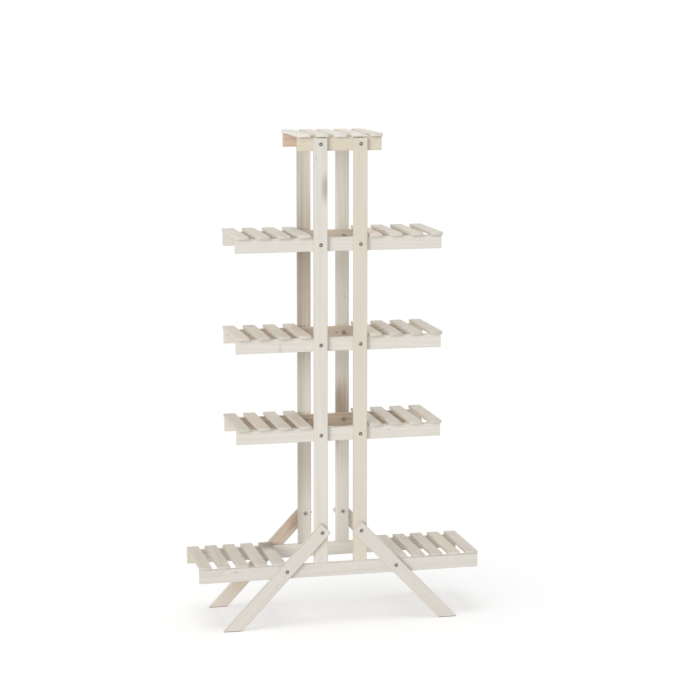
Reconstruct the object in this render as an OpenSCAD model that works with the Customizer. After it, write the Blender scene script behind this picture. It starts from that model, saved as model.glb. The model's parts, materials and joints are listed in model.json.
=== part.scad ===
// Plant ladder stand: two pairs of posts carry five slatted shelves, and four
// splayed legs are bolted to the posts and to the bottom shelf.
// Millimetres. +X is to the right, +Y to the rear, +Z up. The origin is on the
// floor, below the middle of the stand. Shelf 1 is the top one, shelf 5 the bottom one.

/* [Timber] */
// Width of a post's front face
post_w = 38; // [32:1:50]
// Thickness of a post, front to rear
post_t = 13; // [10:1:22]
// Height of a shelf rail, which stands on edge
rail_h = 38; // [30:1:50]
// Thickness of a shelf rail, front to rear
rail_t = 13; // [10:1:22]
// Width of a leg
leg_w = 38; // [32:1:50]
// Thickness of a leg, front to rear
leg_t = 13; // [10:1:22]
// Width of a slat
slat_w = 34; // [30:1:40]
// Thickness of a slat
slat_t = 9; // [7:1:16]

/* [Frame] */
// Clear gap between the left and the right posts
post_gap = 74; // [60:2:90]
// Depth over the outer faces of the front and rear posts
frame_d = 229; // [180:1:320]
// How far the posts end below the top shelf's slats, which bear on the rails alone
post_short = 2.5; // [0:0.5:6]

/* [Shelf lengths] */
// Length of the top shelf's rails
top_len = 235; // [220:5:320]
// Length of the rails of the three middle shelves
middle_len = 580; // [520:10:800]
// Length of the bottom shelf's rails
bottom_len = 800; // [740:10:1000]

/* [Shelf heights] */
// Height of the top edges of the first shelf's rails
level_1 = 1365; // [1300:5:1500]
// Height of the top edges of the second shelf's rails
level_2 = 1091; // [1030:1:1150]
// Height of the top edges of the third shelf's rails
level_3 = 814; // [750:2:870]
// Height of the top edges of the fourth shelf's rails
level_4 = 561; // [500:1:620]
// Height of the top edges of the bottom shelf's rails
level_5 = 177; // [150:1:220]

/* [Slats] */
// Number of slats on the top shelf
top_slats = 5; // [3:1:5]
// Number of slats on each wing of a middle shelf
middle_slats = 4; // [2:1:4]
// Number of slats on each wing of the bottom shelf
bottom_slats = 5; // [2:1:5]
// Play between a middle shelf's innermost slat and the post beside it
slat_play = 8; // [1:1:10]
// Distance from the stand's middle to the bottom shelf's innermost slat
bottom_open = 158; // [110:2:180]

/* [Legs] */
// Angle between a leg and the floor
leg_angle = 46.5; // [42:0.5:52]
// Height of a leg's upper bolt above the bottom shelf's rails
leg_bolt_rise = 91; // [80:1:110]
// Height of a leg's lower bolt above the middle of the bottom rail
leg_bolt_up = 4; // [-5:1:5]
// Length of a leg above its upper bolt
leg_end = 16; // [12:1:24]

/* [Bolts and nuts] */
// Diameter of a bolt's shank
bolt_d = 6; // [5:0.5:8]
// Diameter of a bolt's domed head
head_d = 10.5; // [10:0.5:16]
// Height of a bolt's head
head_h = 3.3; // [2.5:0.1:5]
// Height of the head's straight rim, below its dome
head_rim = 1.2; // [0.8:0.1:1.8]
// Hexagon socket in a bolt's head, across flats
socket_af = 4; // [3:0.5:5]
// Depth of the hexagon socket
socket_h = 1.8; // [1:0.1:2.2]
// Nut size, across flats
nut_af = 10; // [9:0.5:13]
// Height of a nut
nut_h = 5; // [3:0.5:8]
// Length of a bolt that stands out of its nut
bolt_tip = 2; // [1:0.5:6]
// Play round a shank in its hole in the timber
hole_play = 0.25; // [0.1:0.05:0.5]
// Play round a shank in its nut
thread_play = 0.05; // [0.02:0.01:0.1]

/* [Nails] */
// Diameter of a slat nail
nail_d = 1.6; // [1.2:0.1:2.2]
// Length of a slat nail, with its head
nail_len = 20; // [18:1:24]
// Diameter of a nail's head
nail_head_d = 3.2; // [2.6:0.1:4]
// Height of a nail's head, which is flush with the slat
nail_head_h = 0.8; // [0.5:0.1:1.2]
// Distance between the two nails at a slat's end
nail_spacing = 18; // [10:1:22]
// Play round a nail, to each side
nail_play = 0.05; // [0.02:0.01:0.1]

/* [Hidden] */
$fn = 48;
WOOD = "#e3dac9";
STEEL = "#8d8f90";

SIDES = [["left", -1], ["right", 1]];
FACES = [["front", -1], ["rear", 1]];
SHELVES = [1, 2, 3, 4, 5];
levels = [level_1, level_2, level_3, level_4, level_5];
lengths = [top_len, middle_len, middle_len, middle_len, bottom_len];

// Middle of a post, and its outer edge, from the stand's middle
post_x = post_gap / 2 + post_w / 2;
post_edge = post_gap / 2 + post_w;

// Planes from the front outwards in: leg, post, upper rails. The bottom rails
// lie in the posts' plane, so that the legs lie flat on both.
post_y = frame_d / 2;
rail_y = post_y - post_t;

// Bolt places, as [x, z] on the right side
shelf_bolts = [for (i = [0:3]) [post_x, levels[i] - rail_h / 2]];
leg_top_bolt = [post_x, level_5 + leg_bolt_rise];
leg_low_z = level_5 - rail_h / 2 + leg_bolt_up;
leg_low_bolt = [post_x + (leg_top_bolt[1] - leg_low_z) / tan(leg_angle), leg_low_z];
hole_d = bolt_d + 2 * hole_play;

// Outer face of a shelf's rails, from the stand's middle
function rail_face(shelf) = shelf == 5 ? post_y : rail_y;

// Middles of n slats that fill the stretch from a to b
function spread(n, a, b) = [for (i = [0:n - 1]) a + slat_w / 2 + i * (b - a - slat_w) / (n - 1)];

// Middles of a shelf's slats, from left to right
function slat_places(shelf) =
    shelf == 1 ? spread(top_slats, -top_len / 2, top_len / 2)
    : shelf == 5 ? wings(bottom_slats, bottom_open, bottom_len / 2)
    : wings(middle_slats, post_edge + slat_play, middle_len / 2);
function wings(n, a, b) = concat(spread(n, -b, -a), spread(n, a, b));

function post_name(face, side) = str("post_", face[0], "_", side[0]);
function leg_name(face, side) = str("leg_", face[0], "_", side[0]);
function rail_name(shelf, face) = str("shelf_", shelf, "_rail_", face[0]);
function slat_name(shelf, i) = str("shelf_", shelf, "_slat_", i + 1);

// Puts a piece that is drawn at the front right in its own corner
module corner(face, side) {
    mirror([side[1] < 0 ? 1 : 0, 0, 0])
        mirror([0, face[1] > 0 ? 1 : 0, 0])
            children();
}

// Turns a piece that is drawn along +Z so that it runs from front to rear
module inwards() {
    rotate([-90, 0, 0]) children();
}

// Bolt hole at [x, z], through a piece at the front
module bolt_hole(place) {
    translate([place[0], -post_y - leg_t - 1, place[1]])
        inwards() cylinder(d = hole_d, h = leg_t + post_t + rail_t + 2);
}

// Upright post, standing on the bottom rail
module post() {
    color(WOOD)
    difference() {
        translate([post_gap / 2, -post_y, level_5])
            cube([post_w, post_t, level_1 - post_short - level_5]);
        for (place = shelf_bolts) bolt_hole(place);
        bolt_hole(leg_top_bolt);
    }
}

// Outline of the right leg in the X-Z plane: square at its top end, and cut
// level at the floor
function leg_outline() =
    let (
        up = [-cos(leg_angle), sin(leg_angle)],
        out = [sin(leg_angle), cos(leg_angle)] * leg_w / 2,
        top = leg_top_bolt + leg_end * up,
        foot = function (p) [p[0] + p[1] / tan(leg_angle), 0]
    )
    [top + out, foot(top + out), foot(top - out), top - out];

// Splayed leg, flat against the post and the bottom rail
module leg() {
    color(WOOD)
    difference() {
        translate([0, -post_y, 0]) rotate([90, 0, 0])
            linear_extrude(leg_t) polygon(leg_outline());
        bolt_hole(leg_top_bolt);
        bolt_hole(leg_low_bolt);
    }
}

// Front rail of a shelf, on edge
module rail(shelf) {
    length = lengths[shelf - 1];
    face = rail_face(shelf);
    places = shelf == 5 ? [leg_low_bolt] : [shelf_bolts[shelf - 1]];
    color(WOOD)
    difference() {
        translate([-length / 2, -face, levels[shelf - 1] - rail_h])
            cube([length, rail_t, rail_h]);
        for (place = places) for (side = [-1, 1]) bolt_hole([side * place[0], place[1]]);
        for (x = slat_places(shelf)) nail_holes(shelf, x);
    }
}

// Slat across the two rails of a shelf. Every slat is as long as the frame is
// deep, so it reaches past the upper rails to the posts' outer faces, and the
// top shelf's slats lie over the posts' ends.
module slat(shelf, x) {
    color(WOOD)
    difference() {
        translate([x - slat_w / 2, -post_y, levels[shelf - 1]])
            cube([slat_w, frame_d, slat_t]);
        nail_holes(shelf, x);
        mirror([0, 1, 0]) nail_holes(shelf, x);
    }
}

// One nail, its head at the top and flush with z = 0, widened by play
module nail(play) {
    translate([0, 0, -nail_len - play]) cylinder(d = nail_d + 2 * play, h = nail_len);
    translate([0, 0, -nail_head_h]) cylinder(d = nail_head_d + 2 * play, h = nail_head_h + play);
}

// Places the two nails at the front end of a slat
module nail_pair(shelf, x) {
    for (side = [-1, 1])
        translate([
            x + side * nail_spacing / 2,
            -rail_face(shelf) + rail_t / 2,
            levels[shelf - 1] + slat_t
        ])
            children();
}

module nail_holes(shelf, x) {
    nail_pair(shelf, x) nail(nail_play);
}

// Domed bolt, its head's seat at z = 0 and its shank along +Z
module bolt(grip) {
    dome_h = head_h - head_rim;
    dome_r = (pow(head_d / 2, 2) + pow(dome_h, 2)) / (2 * dome_h);
    difference() {
        union() {
            intersection() {
                translate([0, 0, dome_r - head_h]) sphere(r = dome_r);
                translate([0, 0, -head_h]) cylinder(d = head_d, h = head_h);
            }
            cylinder(d = bolt_d, h = grip + nut_h + bolt_tip);
        }
        translate([0, 0, -head_h - 1])
            cylinder(d = socket_af / cos(30), h = socket_h + 1, $fn = 6);
    }
}

// Hexagon nut, its seat at z = 0
module nut() {
    difference() {
        cylinder(d = nut_af / cos(30), h = nut_h, $fn = 6);
        translate([0, 0, -1]) cylinder(d = bolt_d + 2 * thread_play, h = nut_h + 2);
    }
}

// Every bolt's place: [x, z], the seat of its head from the middle, and the
// timber that it grips
function bolt_places() = concat(
    [for (place = shelf_bolts) [place, post_y, post_t + rail_t]],
    [[leg_top_bolt, post_y + leg_t, leg_t + post_t], [leg_low_bolt, post_y + leg_t, leg_t + rail_t]]
);

module bolts() {
    color(STEEL)
    for (f = FACES) for (s = SIDES) for (b = bolt_places())
        corner(f, s) translate([b[0][0], -b[1], b[0][1]]) inwards() bolt(b[2]);
}

module nuts() {
    color(STEEL)
    for (f = FACES) for (s = SIDES) for (b = bolt_places())
        corner(f, s) translate([b[0][0], -b[1] + b[2], b[0][1]]) inwards() nut();
}

module slat_nails() {
    color(STEEL)
    for (f = FACES) for (shelf = SHELVES) for (x = slat_places(shelf))
        corner(f, SIDES[1]) nail_pair(shelf, x) nail(0);
}

for (f = FACES) for (s = SIDES) {
    corner(f, s) post();
    corner(f, s) leg();
}
for (n = SHELVES) {
    for (f = FACES)
        corner(f, SIDES[1]) rail(n);
    for (i = [0:len(slat_places(n)) - 1])
        slat(n, slat_places(n)[i]);
}
bolts();
nuts();
slat_nails();
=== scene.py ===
"""A plant ladder stand of glazed pine battens, held together by zinc bolts, nuts and nails.

Metres, +X to the right, +Y to the rear, +Z up. The stand's shapes and places come from the frame;
what is added here is what a joiner and a painter leave on them: eased arrises, grain, knots, a thin
white glaze, real heads and threads on the bolts, chamfers on the nuts and points on the nails.
"""
import json
import random
from math import cos, pi, radians, sin, sqrt, tan

import bmesh
import bpy
import numpy as np
from mathutils import Matrix, Vector

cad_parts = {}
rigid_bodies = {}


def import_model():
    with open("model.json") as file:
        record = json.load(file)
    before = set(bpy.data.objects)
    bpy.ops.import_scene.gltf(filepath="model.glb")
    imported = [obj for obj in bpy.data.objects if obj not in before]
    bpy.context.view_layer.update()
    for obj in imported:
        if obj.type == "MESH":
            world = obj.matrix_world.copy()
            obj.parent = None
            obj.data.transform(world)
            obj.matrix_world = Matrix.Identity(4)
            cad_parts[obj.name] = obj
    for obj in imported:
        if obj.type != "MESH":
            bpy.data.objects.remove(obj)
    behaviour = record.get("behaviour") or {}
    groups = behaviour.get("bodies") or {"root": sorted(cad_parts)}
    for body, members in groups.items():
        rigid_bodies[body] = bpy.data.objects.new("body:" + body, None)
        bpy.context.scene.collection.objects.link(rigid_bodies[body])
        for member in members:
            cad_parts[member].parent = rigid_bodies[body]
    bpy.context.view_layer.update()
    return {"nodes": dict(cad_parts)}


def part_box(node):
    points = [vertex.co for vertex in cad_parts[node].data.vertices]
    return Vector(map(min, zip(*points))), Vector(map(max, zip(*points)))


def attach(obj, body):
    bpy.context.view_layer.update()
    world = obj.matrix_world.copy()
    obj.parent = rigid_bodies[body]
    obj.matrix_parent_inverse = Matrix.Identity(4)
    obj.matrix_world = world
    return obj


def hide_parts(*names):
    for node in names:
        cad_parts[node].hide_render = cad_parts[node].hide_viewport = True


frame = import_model()
MM = 0.001
TOUCHING = 0.01 * MM       # points closer than this are one point
FAR_AWAY = 100             # metres, further than anything on the stand
X, Y, Z = Vector((1, 0, 0)), Vector((0, 1, 0)), Vector((0, 0, 1))


# ---------------------------------------------------------------- working at the bench

def take_up(piece):
    """Makes a piece the only one that is selected."""
    bpy.ops.object.select_all(action="DESELECT")
    piece.select_set(True)
    bpy.context.view_layer.objects.active = piece


def put_down(name):
    """The new primitive under a name of its own, back in object mode."""
    if bpy.context.object.mode == "EDIT":
        bpy.ops.object.mode_set(mode="OBJECT")
    piece = bpy.context.object
    piece.name = piece.data.name = name
    return piece


def choose_edges(piece, wanted):
    """Selects just those edges that wanted() accepts."""
    bpy.ops.mesh.select_mode(type="EDGE")
    bpy.ops.mesh.select_all(action="DESELECT")
    mesh = bmesh.from_edit_mesh(piece.data)
    for edge in mesh.edges:
        if wanted(edge):
            edge.select_set(True)
    bmesh.update_edit_mesh(piece.data)


def clean(piece):
    """Takes out the slivers without area that a bevel or a cut leaves."""
    take_up(piece)
    bpy.ops.object.mode_set(mode="EDIT")
    bpy.ops.mesh.select_all(action="SELECT")
    bpy.ops.mesh.dissolve_degenerate(threshold=TOUCHING)
    bpy.ops.object.mode_set(mode="OBJECT")


def smooth(piece, angle):
    """Rounds the shading of a piece where its faces meet at less than an angle in degrees."""
    take_up(piece)
    bpy.ops.object.shade_smooth_by_angle(angle=radians(angle))


def write(piece, name, kind, domain, values):
    """Stores one value for each point, or for each corner of each face, of a finished mesh."""
    attribute = piece.data.attributes.new(name, kind, domain)
    field = {"FLOAT": "value", "FLOAT_VECTOR": "vector", "FLOAT_COLOR": "color"}[kind]
    attribute.data.foreach_set(field, np.asarray(values, np.float32).ravel())


def points(piece):
    """The piece's vertices as rows of x, y, z."""
    found = np.empty(3 * len(piece.data.vertices))
    piece.data.vertices.foreach_get("co", found)
    return found.reshape(-1, 3)


def finish(piece, material, slot, *nodes):
    """Gives a finished piece its material and its place in the frame."""
    piece.data.materials.clear()
    piece.data.materials.append(material)
    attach(piece, "root")
    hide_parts(*nodes)


# ---------------------------------------------------------------- materials

def linear(hex_colour):
    """An sRGB hex colour as the linear RGBA that the shaders take."""
    parts = [int(hex_colour[i:i + 2], 16) / 255 for i in (1, 3, 5)]
    return tuple(c / 12.92 if c <= 0.04045 else ((c + 0.055) / 1.055) ** 2.4 for c in parts) + (1,)


def add(tree, kind, inputs=(), out=0, **settings):
    """Adds a node with its settings and gives one of its outputs. An input is a number, a colour or
    another node's output; a dict names the sockets, and a list fills them in their order."""
    new = tree.nodes.new("ShaderNode" + kind)
    for name, value in settings.items():
        setattr(new, name, value)
    for key, value in inputs.items() if isinstance(inputs, dict) else enumerate(inputs):
        if isinstance(value, bpy.types.NodeSocket):
            tree.links.new(value, new.inputs[key])
        else:
            new.inputs[key].default_value = value
    return new.outputs[out] if len(new.outputs) else new


def distance(tree, offset, weights):
    """How long an offset is when each of its three parts counts by its weight."""
    weighted = add(tree, "VectorMath", [offset, weights], operation="MULTIPLY")
    return add(tree, "VectorMath", [weighted], out=1, operation="LENGTH")


def blank_material(name):
    """A new material and its empty node tree."""
    material = bpy.data.materials.new(name)
    material.use_nodes = True
    material.node_tree.nodes.clear()
    return material, material.node_tree


# Sockets of a Mix node that blends two colours
SHARE, FIRST, SECOND, BLENDED = 0, 6, 7, 2

NOISE = (0.3, 0.7)         # a noise keeps nearly all of its values between these

PINE_EARLY = "#dab98d"     # pale wood of spring and summer
PINE_LATE = "#b88d5f"      # hard dark wood that closes each year's ring
KNOT = "#84603f"
GLAZE = "#e7e6df"
STAIN_AND_SHADE = "#a08976"
RING = 3.6 * MM            # growth rings of fast-grown pine
RING_WAVER = 2.4 * MM      # how far a ring strays from a true circle
LATE_FROM, LATE_PEAK = 0.2, 0.86  # shares of a ring where its wood starts to darken, and is darkest
LATE_DARK = 0.7            # how far latewood darkens the wood, where 1 is PINE_LATE
FIBRE_DARK = 0.25          # the same for the fibres
FIBRE_SHOWS = (0.35, 0.7)  # values of the fibres' noise from where to where they darken it

# Streaks along the board: width, length, detail and roughness of the noise. Real fibres are finer than
# shows, so they are drawn about a millimetre wide.
STREAKS = {
    "fibre": (1.1 * MM, 60 * MM, 3, 0.62),
    "brush": (5.5 * MM, 480 * MM, 3, 0.6),
    "waver": (28 * MM, 420 * MM, 3, 0.5),
    "patch": (34 * MM, 200 * MM, 2, 0.5),
}

# A knot, measured in its own radius
KNOT_SQUEEZE = 0.7         # weight of lengths along the board, which draws the knot out that way
FLOW_SQUEEZE = 0.2         # the same for the fibres that flow round it
KNOT_RIM = (0.7, 1.15)     # where its rim starts and ends
KNOT_RAGGED = 0.16         # how far the fibres make that waver
KNOT_FLOW = (0.3, 3.2)     # from where to where the rings bend less and less
KNOT_PUSH = 3.2 * MM       # how far a knot pushes the rings aside

# How much the glaze's thickness varies with each kind of streak, and changes on latewood and knots
GLAZE_STREAKS = {"brush": 0.18, "patch": 0.16, "fibre": 0.08}
GLAZE_ON_LATE, GLAZE_ON_KNOT = -0.05, -0.16
GLAZE_ROUGH = (0.52, 0.66)
STAIN_AND_SHADE_FADE = (0.25, 1.0)   # shares of a patch's reach where it starts to fade, and is gone
STAIN_AND_SHADE_WAVER = 0.25         # how far the brush makes that waver
# How high latewood and the brush's streaks stand where a fibre's height is 1, and that height's size
LATE_RISE, BRUSH_RISE = 0.4, 0.6
RELIEF, RELIEF_STRENGTH = 0.2 * MM, 0.35


def glazed_pine():
    """Planed pine, brushed with a thin white glaze: the eye sees pale cream boards whose rings, fibres
    and knots show through faintly, and more warmly where the brush left less of it. On some faces
    the glaze's thickness and the boards' tone carry painted light and painted shade."""
    material, tree = blank_material("glazed pine")
    grain = add(tree, "Attribute", out=1, attribute_name="grain")
    coat_and_painted_light = add(tree, "Attribute", out=2, attribute_name="coat_and_painted_light")
    tone_and_painted_light = add(tree, "Attribute", out=0, attribute_name="tone_and_painted_light")

    streaks = {}
    for name, (width, length, detail, rough) in STREAKS.items():
        drawn_out = add(tree, "VectorMath", [grain, (1 / length, 1 / width, 1 / width)],
                        operation="MULTIPLY")
        streaks[name] = add(tree, "TexNoise", {"Vector": drawn_out, "Scale": 1.0, "Detail": detail,
                                               "Roughness": rough})

    # Distance to the board's knot, in knot radii: as the knot's own outline has it, and as the fibres
    # that flow round it have it
    from_knot = add(tree, "Attribute", out=1, attribute_name="knot")
    near, flow = [distance(tree, from_knot, (squeeze, 1, 0)) for squeeze in (KNOT_SQUEEZE, FLOW_SQUEEZE)]
    ragged = add(tree, "MapRange", [streaks["fibre"], *NOISE, -KNOT_RAGGED, KNOT_RAGGED])
    near = add(tree, "Math", [near, ragged], operation="ADD")
    knot = add(tree, "MapRange", [near, *KNOT_RIM, 1.0, 0.0], interpolation_type="SMOOTHSTEP")
    push = add(tree, "MapRange", [flow, *KNOT_FLOW, KNOT_PUSH, 0.0], interpolation_type="SMOOTHERSTEP")

    # Growth rings: the distance from the tree's heart, wavering and pushed aside by a knot
    radius = distance(tree, grain, (0, 1, 1))
    waver = add(tree, "MapRange", [streaks["waver"], 0.0, 1.0, -RING_WAVER, RING_WAVER])
    radius = add(tree, "Math", [radius, waver], operation="ADD")
    radius = add(tree, "Math", [radius, push], operation="ADD")
    ring = add(tree, "Math", [radius, RING], operation="DIVIDE")
    ring = add(tree, "Math", [ring], operation="FRACT")
    rise = add(tree, "MapRange", [ring, LATE_FROM, LATE_PEAK, 0.0, 1.0], interpolation_type="SMOOTHSTEP")
    fall = add(tree, "MapRange", [ring, LATE_PEAK, 1.0, 1.0, 0.0], interpolation_type="SMOOTHSTEP")
    late = add(tree, "Math", [rise, fall], operation="MULTIPLY")

    fibre_dark = add(tree, "MapRange", [streaks["fibre"], *FIBRE_SHOWS, 0.0, FIBRE_DARK])
    dark = add(tree, "Math", [late, LATE_DARK, fibre_dark], operation="MULTIPLY_ADD")
    wood = add(tree, "Mix", {SHARE: dark, FIRST: linear(PINE_EARLY), SECOND: linear(PINE_LATE)},
               out=BLENDED, data_type="RGBA")
    wood = add(tree, "Mix", {SHARE: knot, FIRST: wood, SECOND: linear(KNOT)},
               out=BLENDED, data_type="RGBA")

    # The glaze lies thinner in the brush's streaks, in patches, and on hard latewood and knots
    cover = coat_and_painted_light
    for name, share in GLAZE_STREAKS.items():
        more_or_less = add(tree, "MapRange", [streaks[name], 0.0, 1.0, -share / 2, share / 2])
        cover = add(tree, "Math", [cover, more_or_less], operation="ADD")
    cover = add(tree, "Math", [late, GLAZE_ON_LATE, cover], operation="MULTIPLY_ADD")
    cover = add(tree, "Math", [knot, GLAZE_ON_KNOT, cover], operation="MULTIPLY_ADD")
    cover = add(tree, "Clamp", [cover])
    glazed = add(tree, "Mix", {SHARE: cover, FIRST: wood, SECOND: linear(GLAZE)},
                 out=BLENDED, data_type="RGBA")
    # each board's tone, with painted light and painted shade multiplied in
    tinted = add(tree, "Mix", {SHARE: 1.0, FIRST: glazed, SECOND: tone_and_painted_light},
                 out=BLENDED, data_type="RGBA", blend_type="MULTIPLY")

    # Resin and old heartwood darken a board in one or two places, and some such patches are painted
    # shade and a painted shadow. A patch's x and y reach 1 at its edge, and its z is how strong it is
    uneven = add(tree, "MapRange", [streaks["brush"], *NOISE, -STAIN_AND_SHADE_WAVER, STAIN_AND_SHADE_WAVER])
    for name in ("stain_and_shade_a", "stain_and_shade_b"):
        patch_spot = add(tree, "Attribute", out=1, attribute_name=name)
        from_patch_spot = add(tree, "Math", [distance(tree, patch_spot, (1, 1, 0)), uneven], operation="ADD")
        strength = add(tree, "SeparateXYZ", [patch_spot], out=2)
        share = add(tree, "MapRange", [from_patch_spot, *STAIN_AND_SHADE_FADE, strength, 0.0],
                    interpolation_type="SMOOTHSTEP")
        tinted = add(tree, "Mix", {SHARE: share, FIRST: tinted, SECOND: linear(STAIN_AND_SHADE)},
                     out=BLENDED, data_type="RGBA", blend_type="MULTIPLY")

    rough = add(tree, "MapRange", [streaks["fibre"], *NOISE, *GLAZE_ROUGH])
    height = add(tree, "Math", [late, LATE_RISE, streaks["fibre"]], operation="MULTIPLY_ADD")
    height = add(tree, "Math", [streaks["brush"], BRUSH_RISE, height], operation="MULTIPLY_ADD")
    bump = add(tree, "Bump", {"Strength": RELIEF_STRENGTH, "Distance": RELIEF, "Height": height})
    shader = add(tree, "BsdfPrincipled", {"Base Color": tinted, "Roughness": rough, "Normal": bump})
    add(tree, "OutputMaterial", {"Surface": shader})
    return material


# The zinc's colours where painted reflection and shade make it dark, and where they make it bright
ZINC_PAINTED_DARK, ZINC_PAINTED_BRIGHT = "#222120", "#cfcec9"
ZINC_CLOUD = 1.6 * MM      # size of the patches in the plate
ZINC_MOTTLE = (0.86, 1.0)  # how bright they are
ZINC_ROUGH = (0.32, 0.44)


def zinc():
    """Zinc plate on pressed steel: a soft grey shine, with a painted reflection on each head that is
    bright in its middle and along its rim and dark in the ring between them, and painted shade on the
    rails' nuts and painted light on the legs' nuts."""
    material, tree = blank_material("zinc plated steel")
    spot = add(tree, "TexCoord", out=3)
    cloud = add(tree, "TexNoise", {"Vector": spot, "Scale": 1 / ZINC_CLOUD, "Detail": 3.0})
    # bright carries the heads' painted reflection and the nuts' painted shade and painted light
    bright = add(tree, "Attribute", out=2, attribute_name="bright")
    plate = add(tree, "Mix", {SHARE: bright, FIRST: linear(ZINC_PAINTED_DARK), SECOND: linear(ZINC_PAINTED_BRIGHT)},
                out=BLENDED, data_type="RGBA")
    mottle = add(tree, "MapRange", [cloud, *NOISE, *ZINC_MOTTLE])
    grey = add(tree, "Mix", {SHARE: 1.0, FIRST: plate, SECOND: mottle},
               out=BLENDED, data_type="RGBA", blend_type="MULTIPLY")
    rough = add(tree, "MapRange", [cloud, *NOISE, *ZINC_ROUGH])
    shader = add(tree, "BsdfPrincipled", {"Base Color": grey, "Metallic": 1.0, "Roughness": rough})
    add(tree, "OutputMaterial", {"Surface": shader})
    return material


BARE_STEEL, GLAZED_STEEL = "#8d8a84", "#d3cdbf"
NAIL_CLOUD = 1.3 * MM      # size of the patches in the glaze on a nail's head
NAIL_SHOWS = (0.35, 0.65)  # values of their noise from the barest to the best covered
NAIL_COAT = (0.5, 0.95)    # how well the glaze covers those


def glazed_nail():
    """Steel nail that was brushed over with the boards: its head shows as a pale disc through which a
    little grey steel looks."""
    material, tree = blank_material("glazed steel nail")
    spot = add(tree, "TexCoord", out=3)
    cloud = add(tree, "TexNoise", {"Vector": spot, "Scale": 1 / NAIL_CLOUD, "Detail": 2.0})
    cover = add(tree, "MapRange", [cloud, *NAIL_SHOWS, *NAIL_COAT])
    paint = add(tree, "Mix", {SHARE: cover, FIRST: linear(BARE_STEEL), SECOND: linear(GLAZED_STEEL)},
                out=BLENDED, data_type="RGBA")
    shader = add(tree, "BsdfPrincipled", {"Base Color": paint, "Metallic": 0.15, "Roughness": 0.5})
    add(tree, "OutputMaterial", {"Surface": shader})
    return material


# ---------------------------------------------------------------- boards

ARRIS = 1.5 * MM           # radius that takes the sharpness off a board's long edges
SAWN_ARRIS = 0.5 * MM      # the rub of sandpaper round a sawn end
FOOT_ARRIS = 2.2 * MM      # wear along a foot's front and rear: bare wood, with painted contact shade on it
LEG_ANGLE = radians(46.5)  # a leg's slope from the floor
HALF_BATTEN = 19 * MM      # half the width of a post or a leg

FLAT = radians(1)          # triangles that fold less than this are one face
HOLE_FACET = 100 * MM ** 2  # each facet in a hole is smaller than this, and each side and end larger
SIDE_FOLD, END_FOLD = 1.0, 0.3  # least fold, in radians, between two sides, and at a sawn end
# Shares of a face's normal, or of an edge's run, that lie in one direction
MOSTLY, HARDLY = 0.6, 0.1  # a face with more looks that way, and a face with less looks aside
NEARLY = 0.9               # an edge with more runs that way
WORN_AND_SHADED = 0.5                 # a foot's worn faces, with painted contact shade, look to the front or rear by more than this

# Thickness of the glaze, from 0, bare wood, to 1, opaque, and how bright a darker face is. The
# inner faces' thinner glaze also paints their warm shade
COAT_FACE, COAT_EDGE, COAT_INNER, COAT_UNDER, COAT_END = 0.87, 0.81, 0.76, 0.66, 0.76
COAT_SLAT, COAT_SLAT_END, SLAT_END_DARK = 0.76, 0.87, 0.92
# A foot's worn arris: how thin its glaze is, and the painted contact shade that darkens it
COAT_FOOT, FOOT_PAINTED_SHADE = 0.3, 0.35
# Slats of the upper shelves get painted light, where no shelf above shades them: how much thicker
# their glaze is, and how much brighter they are
UPPER_SLATS_PAINTED_LIGHT = {"shelf_1": (0.12, 1.13), "shelf_2": (0.02, 1.06)}
# Inner faces whose glaze is set thinner or thicker than the rest, as painted shade and painted
# light: thinner and warmer in shade, thicker and whiter in light
INNER_GLAZE_AND_PAINTED_LIGHT = {"shelf_1_rail_rear": 0.43, "post_rear_right": 0.89, "leg_rear_left": 0.68}
# Rear rails whose inner face carries painted shade where slats cover it and painted light where it
# lies open, changing along its length: the glaze's thickness and the brightness in the middle, the same
# at the ends, and how far from the middle the change starts and stops
INNER_PAINTED_LIGHT_ALONG = {"shelf_2_rail_rear": (0.56, 0.84, 0.87, 1, 235 * MM, 262 * MM),
               "shelf_3_rail_rear": (0.52, 0.78, 0.87, 1, 235 * MM, 262 * MM),
               "shelf_4_rail_rear": (0.44, 0.68, 0.87, 1, 235 * MM, 262 * MM),
               "shelf_5_rail_rear": (0.88, 1.08, 0.78, 0.95, 146 * MM, 162 * MM)}
# Boards that are warmer or greyer than the rest
TINTS = {"post_front_left": "#fdfdfd", "post_front_right": "#f9f5ef", "shelf_1_rail_front": "#f9f3e6",
         "shelf_5_rail_front": "#f9f9fa", "post_rear_left": "#f3f5f6", "leg_front_left": "#f9f9fa",
         "leg_front_right": "#f7f7f7", "leg_rear_left": "#f7f3f1", "shelf_1_rail_rear": "#fff6f5"}
# Boards whose one end or side differs: the rise in brightness from the middle to the end and to the
# side that board_axes() points to, and the rise in the glaze's thickness to the end
# leg_rear_left's darker top with its thinner glaze is painted shade
LEANS = {"post_rear_left": (0.0, 0.14, 0.0), "leg_rear_left": (-0.15, 0.0, -0.22)}
# Knots that the eye finds first: along and across from the board's middle, and radius, in mm
KNOTS = {"post_front_left": (539, -13, 3.2), "shelf_5_rail_front": (-299, 9, 3.4)}
CLEAR_BOARDS = ("post_front_right", "leg_front_left", "leg_front_right", "leg_rear_left")
# Stains and patches of painted shade: along and across from the board's middle, half length and half
# width in mm, and strength
STAINS_AND_SHADE = {"post_front_left": [(458, 14, 62, 16, 0.5)],
          # On the rear posts the patches are partly wood stain and partly painted shade
          "post_rear_left": [(200, 0, 290, 300, 0.42), (-368, 0, 125, 300, 0.24)],
          "post_rear_right": [(90, 0, 460, 300, 0.16), (-200, -14, 115, 70, 0.76)],
          # On shelf_5_slat_5 the patch is a painted shadow of the rear left leg
          "leg_rear_left": [(150, 8, 50, 26, 0.4)], "shelf_5_slat_5": [(78, 3, 74, 36, 0.85)],
          "shelf_3_rail_front": [(-168, -8, 9, 16, 0.2)]}

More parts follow.
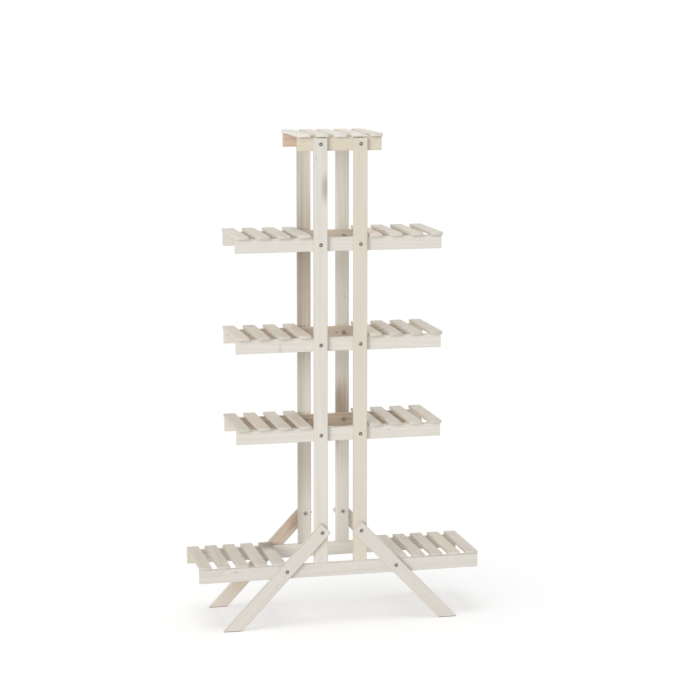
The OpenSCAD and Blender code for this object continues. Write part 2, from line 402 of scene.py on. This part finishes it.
# Where in its log a board may have been sawn, from the tree's heart
LOG_ALONG = (20, 60)       # metres along the heart
LOG_ACROSS = (-30, 30)     # mm across the board
LOG_THROUGH = (28, 75)     # mm through the board, to either side
GRAIN_LEAN = 0.012         # slope by which the grain may lean out of the board
# Knots of the boards that aren't named above
KNOT_CHANCE = 0.5          # share of those boards that have one
KNOT_ALONG = 0.9           # share of the half length that it keeps to
KNOT_ACROSS = 14           # mm to either side of the middle
KNOT_RADII = (2.0, 4.0)    # mm
# No two boards are alike
SLAT_SHADES, BOARD_SHADES = (0.9, 0.99), (0.98, 0.99)
WARMTH = 0.01              # how much warmer or cooler than the rest a board may be
SLAT_THINNER = 0.1         # how much thinner than the rest a slat's glaze may be


def board_axes(node):
    """Directions along, across and through a board: its longest, middle and shortest ways."""
    if node.startswith("leg"):
        side = -1 if node.endswith("left") else 1
        along = Vector((-side * cos(LEG_ANGLE), 0, sin(LEG_ANGLE)))
        return along, Y.cross(along), Y
    low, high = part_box(node)
    size = high - low
    ways = sorted((X, Y, Z), key=lambda way: -size.dot(way))
    return ways[0], ways[1], ways[2]


def ease_arrises(piece, along):
    """Rounds the long edges of a board that is being edited, and takes the edge off its sawn ends."""

    def is_end(face):
        return abs(face.normal.dot(along)) > MOSTLY and face.calc_area() > HOLE_FACET

    def is_side(face):
        return abs(face.normal.dot(along)) < HARDLY and face.calc_area() > HOLE_FACET

    def long_arris(edge):
        return all(is_side(face) for face in edge.link_faces) and edge.calc_face_angle(0) > SIDE_FOLD

    def sawn_arris(edge):
        return any(is_end(face) for face in edge.link_faces) and edge.calc_face_angle(0) > END_FOLD

    def foot_arris(edge):
        left, right = sorted(edge.verts, key=lambda end: end.co.x)
        on_floor = max(left.co.z, right.co.z) < TOUCHING
        return on_floor and (right.co - left.co).normalized().x > NEARLY

    for wanted, width, steps in ((long_arris, ARRIS, 3), (foot_arris, FOOT_ARRIS, 1),
                                 (sawn_arris, SAWN_ARRIS, 1)):
        choose_edges(piece, wanted)
        bpy.ops.mesh.bevel(offset=width, segments=steps, profile=0.5, affect="EDGES")
        bpy.ops.mesh.faces_shade_smooth()


def dressed_board(node):
    """A copy of a CAD board with its loose triangles merged and its arrises eased."""
    piece = bpy.data.objects.new("glazed_" + node, frame["nodes"][node].data.copy())
    bpy.context.scene.collection.objects.link(piece)
    along = board_axes(node)[0]
    take_up(piece)
    bpy.ops.object.mode_set(mode="EDIT")
    bpy.ops.mesh.select_all(action="SELECT")
    bpy.ops.mesh.remove_doubles(threshold=TOUCHING)
    bpy.ops.mesh.dissolve_limited(angle_limit=FLAT)
    # Cuts where the painted shade along a rear rail's inner face starts and stops changing
    if node in INNER_PAINTED_LIGHT_ALONG:
        starts, stops = INNER_PAINTED_LIGHT_ALONG[node][4:]
        for place in (-stops, -starts, starts, stops):
            bpy.ops.mesh.select_all(action="SELECT")
            bpy.ops.mesh.bisect(plane_co=place * along, plane_no=along)
    bpy.ops.mesh.faces_shade_flat()
    ease_arrises(piece, along)
    bpy.ops.object.mode_set(mode="OBJECT")
    clean(piece)
    return piece


def lay_grain(piece, chance, run, aside, deep):
    """Each point's place in the log that the board was sawn from."""
    heart = Vector((chance.uniform(*LOG_ALONG), chance.uniform(*LOG_ACROSS) * MM,
                    chance.choice((-1, 1)) * chance.uniform(*LOG_THROUGH) * MM))
    lean = chance.uniform(-GRAIN_LEAN, GRAIN_LEAN)
    write(piece, "grain", "FLOAT_VECTOR", "POINT",
          np.stack((run + heart.x, aside + heart.y + lean * run, deep + heart.z + lean * run), 1))


def lay_knot(piece, node, chance, run, aside, half_length):
    """Each point's offset from the board's knot, in knot radii."""
    place, side, radius = FAR_AWAY, FAR_AWAY, MM
    if node in KNOTS:
        place, side, radius = [size * MM for size in KNOTS[node]]
    elif node not in CLEAR_BOARDS and chance.random() < KNOT_CHANCE:
        place = chance.uniform(-KNOT_ALONG, KNOT_ALONG) * half_length
        side = chance.uniform(-KNOT_ACROSS, KNOT_ACROSS) * MM
        radius = chance.uniform(*KNOT_RADII) * MM
    write(piece, "knot", "FLOAT_VECTOR", "POINT",
          np.stack(((run - place) / radius, (aside - side) / radius, 0 * run), 1))


def lay_stains_and_shade(piece, node, run, aside):
    """Each point's offset from the board's stains and patches of painted shade, in shares of their
    reach, and their strength.
    """
    patch_spots = STAINS_AND_SHADE.get(node, []) + [(FAR_AWAY / MM, 0, 1, 1, 0)] * 2
    for name, (place, side, half_length, half_width, strength) in zip(("stain_and_shade_a", "stain_and_shade_b"), patch_spots):
        write(piece, name, "FLOAT_VECTOR", "POINT",
              np.stack(((run / MM - place) / half_length, (aside / MM - side) / half_width,
                        0 * run + strength), 1))


def coat_on(node, face, along, inner):
    """How thick the glaze lies on one face of a board, and how bright that face is, which on a
    foot's worn arris is painted contact shade.
    """
    slat = "slat" in node
    # a foot's worn arris: bare wood, darkened by painted contact shade
    if node.startswith("leg") and face.center.z < FOOT_ARRIS and abs(face.normal.y) > WORN_AND_SHADED:
        return COAT_FOOT, FOOT_PAINTED_SHADE
    if abs(face.normal.dot(along)) > MOSTLY:
        return (COAT_SLAT_END, SLAT_END_DARK) if slat else (COAT_END, 1)
    if face.normal.z < -MOSTLY:
        return COAT_UNDER, 1
    if inner:
        return INNER_GLAZE_AND_PAINTED_LIGHT.get(node, COAT_INNER), 1
    if face.use_smooth:
        return COAT_EDGE, 1
    return (COAT_SLAT, 1) if slat else (COAT_FACE, 1)


def coat_and_painted_light_along(node, from_middle):
    """The same on the inner face of a rear rail, at a distance from its middle: painted shade where
    the slats cover it, and painted light where it lies open.
    """
    cover, bright, end_cover, end_bright, starts, stops = INNER_PAINTED_LIGHT_ALONG[node]
    share = min(max((from_middle - starts) / (stops - starts), 0), 1)
    return cover + share * (end_cover - cover), bright + share * (end_bright - bright)


def lay_glaze(piece, node, chance, run, aside, half_length):
    """How thick the glaze lies at each corner of each face, and how bright and warm it is there; that
    brightness carries painted light and shade besides each board's own tone.
    """
    slat = "slat" in node
    shade = chance.uniform(*(SLAT_SHADES if slat else BOARD_SHADES))
    warm = chance.uniform(-WARMTH, WARMTH)
    # The upper shelves' slats: painted light, as thicker glaze and more brightness
    thicker, painted_light = UPPER_SLATS_PAINTED_LIGHT.get(node[:7], (0, 1)) if slat else (0, 1)
    thinner = (chance.uniform(0, SLAT_THINNER) if slat else 0) - thicker
    shade *= painted_light
    tone_and_painted_light = np.array(linear(TINTS.get(node, "#ffffff")))
    tone_and_painted_light *= (shade * (1 + warm), shade, shade * (1 - warm), 1)
    rise_along, rise_across, thicken = LEANS.get(node, (0, 0, 0))
    rise = 1 + rise_along * run / half_length + rise_across * aside / HALF_BATTEN

    low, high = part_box(node)
    inner_side = Y if low.y + high.y < 0 else -Y
    along = board_axes(node)[0]
    coat_and_painted_light, colour = [], []
    for face in piece.data.polygons:
        inner = not slat and face.normal.dot(inner_side) > MOSTLY
        cover, bright = coat_on(node, face, along, inner)
        for corner in face.vertices:
            # painted shade and painted light along a rear rail's inner face
            if inner and node in INNER_PAINTED_LIGHT_ALONG:
                cover, bright = coat_and_painted_light_along(node, abs(run[corner]))
            coat_and_painted_light.append(cover - thinner + thicken * run[corner] / half_length)
            colour.append(rise[corner] * bright * tone_and_painted_light)
    write(piece, "coat_and_painted_light", "FLOAT", "CORNER", coat_and_painted_light)
    write(piece, "tone_and_painted_light", "FLOAT_COLOR", "CORNER", colour)


def grow(piece, node):
    """Gives a board what the tree and the painter gave it: grain, a knot, stains and glaze, with the
    painted light and shade that some of its stains and its glaze carry.
    """
    chance = random.Random(node)
    axes = board_axes(node)
    low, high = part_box(node)
    from_middle = points(piece) - np.array((low + high) / 2)
    run, aside, deep = [from_middle @ np.array(axis) for axis in axes]
    half_length = (high - low).dot(Vector([abs(c) for c in axes[0]])) / 2
    lay_grain(piece, chance, run, aside, deep)
    lay_knot(piece, node, chance, run, aside, half_length)
    lay_stains_and_shade(piece, node, run, aside)
    lay_glaze(piece, node, chance, run, aside, half_length)


# ---------------------------------------------------------------- fasteners

HEAD_D, HEAD_H, HEAD_RIM, RIM_EASE = 10.5 * MM, 3.3 * MM, 1.2 * MM, 0.15 * MM
DOME_SHARES = (0.18, 0.36, 0.52, 0.68, 0.84, 0.96)  # shares of the head's radius with a step in its dome
SOCKET_AF, SOCKET_H = 4 * MM, 1.8 * MM
BOLT_D, BOLT_TIP, TIP_EASE = 6 * MM, 2 * MM, 0.7 * MM
PITCH, THREAD_DEPTH = 1 * MM, 0.5 * MM
NUT_AF, NUT_H, NUT_PLAY, NUT_SINK = 10 * MM, 5 * MM, 0.05 * MM, 0.45 * MM
NUT_LIP, NUT_CHAMFER = 0.97, radians(30)  # flat share of a nut's face, and the slope past it
NAIL_D, NAIL_LEN, NAIL_POINT = 1.6 * MM, 20 * MM, 2 * MM
NAIL_HEAD_D, NAIL_HEAD_H, NAIL_EASE = 3.2 * MM, 0.8 * MM, 0.2 * MM
BOLT_SIDES, CHAMFER_SIDES, BORE_SIDES, NAIL_SIDES = 24, 48, 32, 12
# How bright the zinc is at these shares of a head's radius, which is a painted reflection, on a
# shank, and on the nuts at the rails and at the legs, which carry painted shade and painted light
HEAD_SHARES, HEAD_BRIGHT = (0.45, 0.53, 0.81, 0.96), (0.85, 0, 0, 0.8)
SHANK_BRIGHT, RAIL_NUT_BRIGHT, LEG_NUT_BRIGHT = 0.4, 0.6, 0.95
LEG_NUTS_FROM = 90 * MM    # nuts further to the front or rear than this are the legs'


def turned(name, profile, steps):
    """A piece turned on a lathe round Z, from its profile of (radius, height) points."""
    bpy.ops.object.select_all(action="DESELECT")
    bpy.ops.mesh.primitive_plane_add(size=MM, location=(0, 0, 0))
    bpy.ops.object.mode_set(mode="EDIT")
    # The plane shrinks to a point, and the profile is drawn on from that
    bpy.ops.mesh.merge(type="CENTER")
    here = Vector((0, 0, 0))
    start = Vector((profile[0][0], 0, profile[0][1]))
    bpy.ops.transform.translate(value=start - here)
    here = start
    for radius, height in profile[1:]:
        spot = Vector((radius, 0, height))
        bpy.ops.mesh.extrude_vertices_move(TRANSFORM_OT_translate={"value": spot - here})
        here = spot
    bpy.ops.mesh.select_all(action="SELECT")
    bpy.ops.mesh.spin(steps=steps, angle=2 * pi, center=(0, 0, 0), axis=(0, 0, 1))
    bpy.ops.mesh.select_all(action="SELECT")
    bpy.ops.mesh.remove_doubles(threshold=TOUCHING / 2)
    bpy.ops.mesh.normals_make_consistent(inside=False)
    return put_down(name)


def cut(piece, tool, operation="DIFFERENCE"):
    """Cuts a piece with a tool, which is then thrown away."""
    take_up(piece)
    step = piece.modifiers.new("cut", "BOOLEAN")
    step.object, step.operation, step.solver = tool, operation, "EXACT"
    bpy.ops.object.modifier_apply(modifier=step.name)
    bpy.data.objects.remove(tool, do_unlink=True)


def prism(name, sides, across_flats, low, high):
    """A bar along Z whose section is a regular polygon, with one of its corners towards +Y."""
    bpy.ops.object.select_all(action="DESELECT")
    bpy.ops.mesh.primitive_cylinder_add(vertices=sides, radius=across_flats / 2 / cos(pi / sides),
                                        depth=high - low, location=(0, 0, (low + high) / 2))
    bpy.ops.object.transform_apply(location=True, rotation=True, scale=True)
    return put_down(name)


def bolt(grip):
    """Button-head bolt with a hexagon socket, its head's seat at z = 0 and its shank along +Z."""
    rim = HEAD_D / 2
    dome_h = HEAD_H - HEAD_RIM
    dome_r = (rim ** 2 + dome_h ** 2) / (2 * dome_h)
    profile = [(0, -HEAD_H)]
    for share in DOME_SHARES:
        radius = share * rim
        profile.append((radius, dome_r - HEAD_H - sqrt(dome_r ** 2 - radius ** 2)))
    profile += [(rim - 0.4 * RIM_EASE, -HEAD_RIM - RIM_EASE / 3), (rim, -HEAD_RIM + 0.8 * RIM_EASE),
                (rim, -RIM_EASE), (rim - RIM_EASE, 0), (BOLT_D / 2, 0)]
    length = grip + NUT_H + BOLT_TIP
    # The thread starts inside the nut and is drawn from there to the tip
    profile.append((BOLT_D / 2, grip + NUT_H - 2 * PITCH))
    root = grip + NUT_H - 1.5 * PITCH
    while root < length - PITCH / 2:
        profile += [(BOLT_D / 2 - THREAD_DEPTH, root), (BOLT_D / 2, root + PITCH / 2)]
        root += PITCH
    profile += [(BOLT_D / 2 - TIP_EASE, length), (0, length)]
    piece = turned("bolt", profile, BOLT_SIDES)
    cut(piece, prism("key", 6, SOCKET_AF, -HEAD_H - MM, -HEAD_H + SOCKET_H))
    spots = points(piece)
    from_axis = np.hypot(spots[:, 0], spots[:, 1]) / rim
    on_head = spots[:, 2] < TOUCHING
    # The head's painted reflection: bright in the middle and at the rim, dark in the ring between
    write(piece, "bright", "FLOAT", "POINT",
          np.where(on_head, np.interp(from_axis, HEAD_SHARES, HEAD_BRIGHT), SHANK_BRIGHT))
    smooth(piece, angle=40)
    return piece


def nut(bright):
    """Hexagon nut with both faces' corners chamfered and its bore countersunk, its seat at z = 0."""
    piece = prism("nut", 6, NUT_AF, 0, NUT_H)
    corner, lip = NUT_AF / 2 / cos(pi / 6), NUT_AF / 2 * NUT_LIP
    rise = (corner + MM - lip) * tan(NUT_CHAMFER)
    cone = turned("chamfer", [(0, 0), (lip, 0), (corner + MM, rise), (corner + MM, NUT_H - rise),
                              (lip, NUT_H), (0, NUT_H)], CHAMFER_SIDES)
    cut(piece, cone, "INTERSECT")
    bore = BOLT_D / 2 + NUT_PLAY
    mouth = bore + NUT_SINK + MM
    drill = turned("drill", [(0, -MM), (mouth, -MM), (bore, NUT_SINK), (bore, NUT_H - NUT_SINK),
                             (mouth, NUT_H + MM), (0, NUT_H + MM)], BORE_SIDES)
    cut(piece, drill)
    clean(piece)
    write(piece, "bright", "FLOAT", "POINT", np.full(len(piece.data.vertices), bright))
    smooth(piece, angle=30)
    return piece


def nail():
    """Flat-head nail with an eased head and a cut point, its head's top at z = 0."""
    head, shank = NAIL_HEAD_D / 2, NAIL_D / 2
    piece = turned("nail", [(0, 0), (head - 1.25 * NAIL_EASE, 0), (head, -NAIL_EASE), (head, -NAIL_HEAD_H),
                            (shank, -NAIL_HEAD_H), (shank, -NAIL_LEN + NAIL_POINT), (0, -NAIL_LEN)],
                   NAIL_SIDES)
    smooth(piece, angle=40)
    return piece


def copies(name, patterns_and_places):
    """One piece of many copies, each pattern's mesh put at a place by its own matrix. The patterns are
    then thrown away."""
    parts = []
    for pattern, place in patterns_and_places:
        part = bpy.data.objects.new(name, pattern.data.copy())
        bpy.context.scene.collection.objects.link(part)
        part.data.transform(place)
        parts.append(part)
    bpy.ops.object.select_all(action="DESELECT")
    for part in parts:
        part.select_set(True)
    bpy.context.view_layer.objects.active = parts[0]
    bpy.ops.object.join()
    for pattern in dict.fromkeys(pattern for pattern, place in patterns_and_places):
        bpy.data.objects.remove(pattern, do_unlink=True)
    return parts[0]


def lumps(node):
    """The boxes of a CAD node's separate solids, as (lowest corner, highest corner)."""
    mesh = bmesh.new()
    mesh.from_mesh(frame["nodes"][node].data)
    bmesh.ops.remove_doubles(mesh, verts=mesh.verts, dist=TOUCHING)
    found, seen = [], set()
    for start in mesh.verts:
        if start in seen:
            continue
        group, queue = [], [start]
        seen.add(start)
        while queue:
            vertex = queue.pop()
            group.append(vertex.co.copy())
            for edge in vertex.link_edges:
                other = edge.other_vert(vertex)
                if other not in seen:
                    seen.add(other)
                    queue.append(other)
        low = Vector([min(co[i] for co in group) for i in range(3)])
        high = Vector([max(co[i] for co in group) for i in range(3)])
        found.append((low, high))
    mesh.free()
    return found


def inwards(low, high, head):
    """The place of a fastener that is drawn from its seat along +Z: it runs inwards from the front or
    the rear, and its seat lies a head's height behind the outer side of the box from low to high."""
    middle = (low + high) / 2
    front = middle.y < 0
    seat = low.y + head if front else high.y - head
    turn = Matrix.Rotation(radians(-90 if front else 90), 4, "X")
    return Matrix.Translation((middle.x, seat, middle.z)) @ turn


def bolts(plated):
    """The bolts, one pattern for each length, with their sockets turned as they came to rest."""
    chance = random.Random("fasteners")
    patterns, places = {}, []
    for low, high in lumps("bolts"):
        grip = round((high.y - low.y - HEAD_H - NUT_H - BOLT_TIP) / MM) * MM
        if grip not in patterns:
            patterns[grip] = bolt(grip)
        # A hexagon looks the same again after a sixth of a turn
        turn = Matrix.Rotation(chance.uniform(0, pi / 3), 4, "Z")
        places.append((patterns[grip], inwards(low, high, HEAD_H) @ turn))
    finish(copies("zinc_bolt_set", places), plated, "zinc_bolts", "bolts")


def nuts(plated):
    """The nuts, each with a flat at its top and at its bottom."""
    # The rails' nuts get painted shade and the legs' nuts painted light
    rail_nut, leg_nut = nut(RAIL_NUT_BRIGHT), nut(LEG_NUT_BRIGHT)
    flat_up = Matrix.Rotation(radians(30), 4, "Z")
    places = []
    for low, high in lumps("nuts"):
        pattern = leg_nut if abs(low.y + high.y) / 2 > LEG_NUTS_FROM else rail_nut
        places.append((pattern, inwards(low, high, 0) @ flat_up))
    finish(copies("zinc_nut_set", places), plated, "zinc_nuts", "nuts")


def slat_nails():
    """The nails, their heads' tops where the frame has them."""
    pattern, places = nail(), []
    for low, high in lumps("slat_nails"):
        middle = (low + high) / 2
        places.append((pattern, Matrix.Translation((middle.x, middle.y, high.z))))
    finish(copies("glazed_nail_set", places), glazed_nail(), "nail_steel", "slat_nails")


# ---------------------------------------------------------------- studio

CAMERA_AT = Vector((-1.2609, -5.4344, 1.7019))
CAMERA_YAW, CAMERA_PITCH = 13.323, 9.300
FOCAL_PIXELS, FRAME_PIXELS, SENSOR = 2012.43, 681, 36

WHITE = (1, 1, 1, 1)
WORLD_FILL = 0.57          # light from all round, where 1 shows a colour as it is written
# Each lamp's strength, turn to the right of the front, height and spread in degrees
KEY = (1.52, -42, 15, 32)
REAR = (0.6, 150, 30, 28)
OVERHEAD = (1.1, -50, 77, 32)
FLOOR_SIZE = 60
# What the floor sends up to the stand, and how it is shown: its shade where no lamp falls, and its glow
FLOOR_BOUNCE = (0.8, 0.8, 0.8, 1)
FLOOR_SHADE, FLOOR_GLOW = (0.56, 0.56, 0.56, 1), 0.50


def camera():
    """A camera at standing height in front of the stand, a little to its left."""
    lens = bpy.data.cameras.new("camera")
    lens.sensor_width = SENSOR
    lens.lens = SENSOR * FOCAL_PIXELS / FRAME_PIXELS
    holder = bpy.data.objects.new("camera", lens)
    holder.location = CAMERA_AT
    holder.rotation_euler = (radians(90 - CAMERA_PITCH), 0, radians(-CAMERA_YAW))
    bpy.context.scene.collection.objects.link(holder)
    bpy.context.scene.camera = holder


def lamp(name, setting, lit):
    """A distant soft lamp that shines only on the collection of things lit."""
    strength, turn, height, spread = setting
    light = bpy.data.lights.new(name, "SUN")
    light.energy, light.angle = strength, radians(spread)
    holder = bpy.data.objects.new(name, light)
    holder.rotation_euler = (radians(90 - height), 0, radians(turn))
    holder.light_linking.receiver_collection = lit
    bpy.context.scene.collection.objects.link(holder)


def looked_at(tree):
    """1 for what the camera, a gloss or a glass looks at, and 0 for light that falls on things."""
    camera_ray, gloss, glass = [add(tree, "LightPath", out=way) for way in
                                ("Is Camera Ray", "Is Glossy Ray", "Is Transmission Ray")]
    either = add(tree, "Math", [camera_ray, gloss], operation="MAXIMUM")
    return add(tree, "Math", [either, glass], operation="MAXIMUM")


def backdrop():
    """A world that is white to look at and fills the shade with a lower, even light."""
    world = bpy.data.worlds.new("studio")
    world.use_nodes = True
    tree = world.node_tree
    tree.nodes.clear()
    level = add(tree, "MapRange", [looked_at(tree), 0, 1, WORLD_FILL, 1])
    light = add(tree, "Background", [WHITE, level])
    add(tree, "OutputWorld", [light])
    bpy.context.scene.world = world


def floor():
    """A white floor that keeps the stand's soft shadow."""
    bpy.ops.object.select_all(action="DESELECT")
    bpy.ops.mesh.primitive_plane_add(size=FLOOR_SIZE, location=(0, 0, 0))
    ground = put_down("floor")
    material, tree = blank_material("white studio floor")
    bounce = add(tree, "BsdfDiffuse", [FLOOR_BOUNCE])
    shade = add(tree, "BsdfDiffuse", [FLOOR_SHADE])
    glow = add(tree, "Emission", [WHITE, FLOOR_GLOW])
    shown = add(tree, "AddShader", [shade, glow])
    surface = add(tree, "MixShader", [looked_at(tree), bounce, shown])
    add(tree, "OutputMaterial", [surface])
    ground.data.materials.append(material)
    return ground


def studio():
    """Even light from the front left. The floor is lit from overhead alone, so that it holds only the
    soft shadow under the stand."""
    camera()
    backdrop()
    ground = floor()
    stand, ground_only = bpy.data.collections.new("stand"), bpy.data.collections.new("ground")
    ground_only.objects.link(ground)
    for piece in bpy.context.scene.collection.objects:
        if piece.type == "MESH" and piece != ground:
            stand.objects.link(piece)
    lamp("key", KEY, stand)
    lamp("rear", REAR, stand)
    lamp("overhead", OVERHEAD, ground_only)
    bpy.context.scene.view_settings.view_transform = "Standard"


# ---------------------------------------------------------------- the stand

pine, plated_steel = glazed_pine(), zinc()
bolts(plated_steel)
nuts(plated_steel)
slat_nails()
for node in sorted(frame["nodes"]):
    if node not in ("bolts", "nuts", "slat_nails"):
        plank = dressed_board(node)
        grow(plank, node)
        finish(plank, pine, "glazed_pine", node)
studio()
